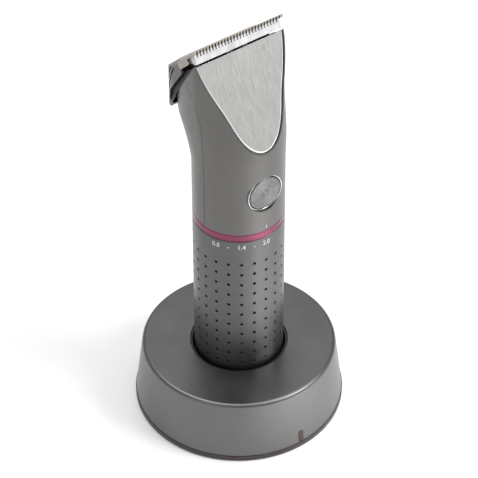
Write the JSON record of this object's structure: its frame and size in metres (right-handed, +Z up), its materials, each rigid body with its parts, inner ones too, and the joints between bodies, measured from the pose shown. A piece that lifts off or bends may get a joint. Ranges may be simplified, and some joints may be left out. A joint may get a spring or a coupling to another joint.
{
  "type": "body groomer",
  "caption": "Cordless body groomer with a turning grip dial, ceramic cutter and tilted face plate, standing in a round charging dock.",
  "frame": {"origin": "centre of the underside of the dock's feet", "axes": "+Z up along the groomer, -Y towards the front with the button, +X to the viewer's right"},
  "size_m": [0.0946, 0.0946, 0.2014],
  "materials": {
    "gunmetal_satin": "satin metallic gunmetal",
    "spun_metal": "spun, concentric lines",
    "polished_steel": "polished",
    "face_plate_steel": "brushed",
    "accent_anodised": "anodised magenta, satin",
    "black_plastic": "matte",
    "dark_base": "satin",
    "soft_rubber": "matte",
    "screw_steel": "zinc plated",
    "spring_steel": "bright wire",
    "board_green": "solder mask",
    "indicator_red": "translucent red",
    "contact_brass": "gold plated",
    "battery_wrap": "shrink wrap",
    "switch_black": "matte",
    "motor_steel": "nickel plated",
    "wire_red": "insulated wire",
    "white_acetal": "moulded",
    "blade_steel": "ground",
    "white_ceramic": "fired ceramic, satin"
  },
  "bodies": {
    "dock": {"dock_shell": "gunmetal_satin", "dock_base_plate": "dark_base", "dock_well": "black_plastic", "contact_block": "black_plastic", "rubber_feet": "soft_rubber", "dock_screws": "screw_steel", "dock_circuit_board": "board_green", "indicator_led": "indicator_red", "indicator_lens": "indicator_red", "dc_inlet": "black_plastic", "pin_spring_left": "spring_steel", "pin_spring_right": "spring_steel"},
    "charge_pin_left": {"charge_pin_left": "contact_brass"},
    "charge_pin_right": {"charge_pin_right": "contact_brass"},
    "groomer": {"bottom_cap": "black_plastic", "charge_contacts": "polished_steel", "core_tube": "black_plastic", "battery_cell": "battery_wrap", "battery_tabs": "spring_steel", "collar": "black_plastic", "seal_ring": "soft_rubber", "accent_ring": "accent_anodised", "front_housing": "gunmetal_satin", "rear_housing": "gunmetal_satin", "face_plate": "face_plate_steel", "button_bezel": "polished_steel", "tact_switch": "switch_black", "circuit_board": "board_green", "motor_can": "motor_steel", "motor_bracket": "motor_steel", "motor_leads": "wire_red", "bracket_screws": "screw_steel", "bulkhead": "black_plastic", "bulkhead_screws": "screw_steel", "heel_pin": "polished_steel", "dial_detent": "spring_steel"},
    "dial": {"grip_sleeve": "gunmetal_satin", "cam_ring": "white_acetal"},
    "rod": {"push_rod": "white_acetal"},
    "rotor": {"motor_shaft": "polished_steel", "eccentric": "white_acetal"},
    "button": {"power_button": "spun_metal"},
    "blade_set": {"blade_frame": "black_plastic", "blade_cover": "gunmetal_satin", "comb_blade": "blade_steel", "blade_screws": "screw_steel"},
    "carriage": {"taper_carriage": "black_plastic", "pressure_spring": "spring_steel"},
    "cutter": {"moving_blade": "white_ceramic", "drive_yoke": "black_plastic"}
  },
  "joints": [
    {"name": "pin_left_press", "type": "slide", "parent": "dock", "child": "charge_pin_left", "axis": [0, 0, 1], "range_m": [-0.0007, 0], "stiffness_N_per_m": 250, "deforming": ["pin_spring_left"]},
    {"name": "pin_right_press", "type": "slide", "parent": "dock", "child": "charge_pin_right", "axis": [0, 0, 1], "range_m": [-0.0007, 0], "stiffness_N_per_m": 250, "deforming": ["pin_spring_right"]},
    {"name": "lift_out", "type": "slide", "parent": "dock", "child": "groomer", "axis": [0, 0, 1], "range_m": [0, 0.03]},
    {"name": "dial_turn", "type": "hinge", "parent": "groomer", "child": "dial", "pos_m": [0, 0, 0.06], "axis": [0, 0, 1], "range_deg": [0, 65.45]},
    {"name": "rod_lift", "type": "slide", "parent": "groomer", "child": "rod", "axis": [0, 0, 1], "range_m": [0, 0.0008495]},
    {"name": "motor_spin", "type": "hinge", "parent": "groomer", "child": "rotor", "pos_m": [0, 0.004, 0.15], "axis": [0, 0, 1], "continuous": true},
    {"name": "button_press", "type": "slide", "parent": "groomer", "child": "button", "axis": [0, 1, 0], "range_m": [0, 0.0009], "stiffness_N_per_m": 900},
    {"name": "blade_open", "type": "hinge", "parent": "groomer", "child": "blade_set", "pos_m": [0, 0.0253, 0.1583], "axis": [-1, 0, 0], "range_deg": [0, 35]},
    {"name": "taper_slide", "type": "slide", "parent": "blade_set", "child": "carriage", "axis": [0, -0.7071, 0.7071], "range_m": [0, 0.0012]},
    {"name": "cutter_stroke", "type": "slide", "parent": "carriage", "child": "cutter", "axis": [1, 0, 0], "range_m": [-0.001, 0.001]}
  ],
  "couplings": [
    {"joint": "rod_lift", "follows": "dial_turn", "m_per_rad": 0.00074281},
    {"joint": "taper_slide", "follows": "dial_turn", "m_per_rad": 0.0010505}
  ]
}
